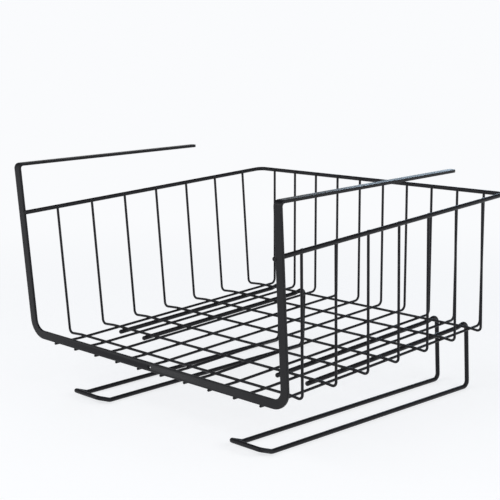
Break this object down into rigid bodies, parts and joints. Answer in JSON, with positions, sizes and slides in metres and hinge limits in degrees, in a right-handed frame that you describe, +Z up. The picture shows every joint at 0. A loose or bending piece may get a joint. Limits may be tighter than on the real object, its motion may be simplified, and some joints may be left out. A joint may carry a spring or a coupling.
{
  "type": "under-shelf wire basket",
  "caption": "Open-front wire basket with two arms that slide over a shelf board and two hairpin rails under its floor that carry flat boards or trays.",
  "frame": {"origin": "middle of the outline of the whole basket, on the surface that it stands on with its rails", "axes": "+Z up, the open front with the flat bar frame faces -Y, +X to the right as seen from the front"},
  "size_m": [0.4068, 0.3704, 0.2648],
  "materials": {
    "coated_bar": "satin black powder coat",
    "coated_wire": "satin black powder coat"
  },
  "bodies": {
    "root": {"front_frame": "coated_bar", "rim_wire": "coated_wire", "cross_wire_1": "coated_wire", "cross_wire_2": "coated_wire", "cross_wire_3": "coated_wire", "cross_wire_4": "coated_wire", "cross_wire_5": "coated_wire", "cross_wire_6": "coated_wire", "cross_wire_7": "coated_wire", "long_wire_1": "coated_wire", "long_wire_2": "coated_wire", "long_wire_3": "coated_wire", "long_wire_4": "coated_wire", "long_wire_5": "coated_wire", "long_wire_6": "coated_wire", "long_wire_7": "coated_wire", "long_wire_8": "coated_wire", "long_wire_9": "coated_wire", "long_wire_10": "coated_wire", "rail_left": "coated_wire", "rail_right": "coated_wire"}
  },
  "joints": []
}
